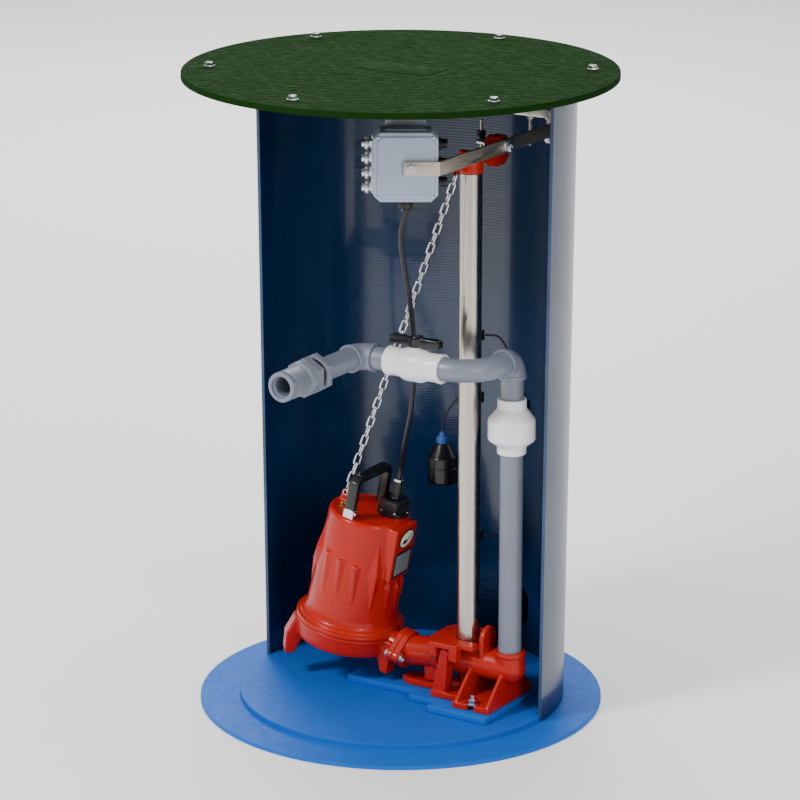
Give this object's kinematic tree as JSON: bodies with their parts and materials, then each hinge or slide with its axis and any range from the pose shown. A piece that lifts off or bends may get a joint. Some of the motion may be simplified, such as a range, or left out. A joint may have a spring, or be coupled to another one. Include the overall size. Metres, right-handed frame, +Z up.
{
  "type": "grinder pump station",
  "caption": "Packaged pump station: open-fronted basin, lift-out grinder pump on a guide rail, check and ball valves, outlet, junction box, float switches and bolted cover.",
  "frame": {"origin": "centre of the base flange's underside", "axes": "+Z up along the basin's axis, +X from the pump towards the discharge riser, -Y out of the open front, towards the outlet"},
  "size_m": [0.786, 0.786, 1.2023],
  "materials": {
    "red_iron": "glossy red enamel over cast iron",
    "blue_base": "satin moulded blue",
    "navy_fibreglass": "gel-coated navy fibreglass",
    "green_cover": "matt moulded dark green, finely textured",
    "stainless": "brushed stainless steel",
    "box_plastic": "satin pale blue-grey",
    "grey_pvc": "satin grey PVC",
    "white_pvc": "semi-gloss white PVC",
    "black_rubber": "matt black rubber",
    "black_cord": "satin black cord jacket",
    "black_plastic": "satin black",
    "bright_steel": "bright zinc-plated steel",
    "laminated_steel": "dull laminated steel"
  },
  "bodies": {
    "station": {"base_elbow": "red_iron", "upper_guide_bracket": "red_iron", "base_flange": "blue_base", "mounting_pad": "blue_base", "basin_shell": "navy_fibreglass", "guide_rail": "stainless", "brace_strap": "stainless", "wall_bracket": "stainless", "bracket_stud": "stainless", "box_hanger": "stainless", "cord_connectors": "stainless", "float_rod": "stainless", "lift_chain": "stainless", "junction_box": "box_plastic", "junction_box_lid": "box_plastic", "riser_pipe": "grey_pvc", "riser_elbow": "grey_pvc", "discharge_elbow": "grey_pvc", "sweep_bend": "grey_pvc", "outlet_pipe": "grey_pvc", "bulkhead_nut": "grey_pvc", "bulkhead_fitting": "grey_pvc", "check_valve_body": "white_pvc", "ball_valve_body": "white_pvc", "bulkhead_gasket": "black_rubber", "power_cord": "black_cord", "float_cord_low": "black_cord", "float_cord_high": "black_cord", "float_cord_alarm": "black_cord", "box_gland": "black_plastic", "anchor_bolt_front": "bright_steel", "anchor_bolt_back": "bright_steel"},
    "cover": {"cover": "green_cover", "cover_bolt_1": "bright_steel", "cover_bolt_2": "bright_steel", "cover_bolt_3": "bright_steel", "cover_bolt_4": "bright_steel", "cover_bolt_5": "bright_steel", "cover_bolt_6": "bright_steel"},
    "pump": {"motor_housing": "red_iron", "volute": "red_iron", "cutter_plate": "bright_steel", "lift_handle": "black_plastic", "cord_gland": "black_plastic", "nameplate": "bright_steel", "motor_stator": "laminated_steel", "lower_bearing": "bright_steel", "upper_bearing": "bright_steel", "shaft_seal": "black_rubber", "slide_bracket": "red_iron"},
    "rotor": {"motor_shaft": "bright_steel", "rotor_core": "laminated_steel", "impeller": "bright_steel", "grinder_cutter": "bright_steel"},
    "valve_spindle": {"valve_handle": "black_plastic", "valve_ball": "white_pvc"},
    "flapper": {"check_flapper": "black_rubber"},
    "low_float": {"float_low": "black_plastic"},
    "high_float": {"float_high": "black_plastic"},
    "alarm_float": {"float_alarm": "black_plastic"}
  },
  "joints": [
    {"name": "cover_lift", "type": "slide", "parent": "station", "child": "cover", "axis": [0, 0, 1], "range_m": [0, 0.2]},
    {"name": "pump_lift", "type": "slide", "parent": "station", "child": "pump", "axis": [0, 0, 1], "range_m": [0, 0.25], "deforming": ["lift_chain", "power_cord"]},
    {"name": "rotor_spin", "type": "hinge", "parent": "pump", "child": "rotor", "pos_m": [-0.111, 0, 0.1415], "axis": [0.1908, 0, 0.9816], "continuous": true},
    {"name": "valve_turn", "type": "hinge", "parent": "station", "child": "valve_spindle", "pos_m": [0.1095, -0.121, 0.6885], "axis": [0, 0, 1], "range_deg": [0, 90]},
    {"name": "check_swing", "type": "hinge", "parent": "station", "child": "flapper", "pos_m": [0.266, 0, 0.546], "axis": [0, 1, 0], "range_deg": [0, 50]},
    {"name": "low_float_swing", "type": "hinge", "parent": "station", "child": "low_float", "pos_m": [0.095, 0.123, 0.298], "axis": [0.4104, -0.9119, 0], "range_deg": [0, 18], "deforming": ["float_cord_low"]},
    {"name": "high_float_swing", "type": "hinge", "parent": "station", "child": "high_float", "pos_m": [0.095, 0.123, 0.566], "axis": [-0.149, 0.9888, 0], "range_deg": [0, 18], "deforming": ["float_cord_high"]},
    {"name": "alarm_float_swing", "type": "hinge", "parent": "station", "child": "alarm_float", "pos_m": [0.095, 0.123, 0.685], "axis": [0.4104, -0.9119, 0], "range_deg": [0, 18], "deforming": ["float_cord_alarm"]}
  ]
}
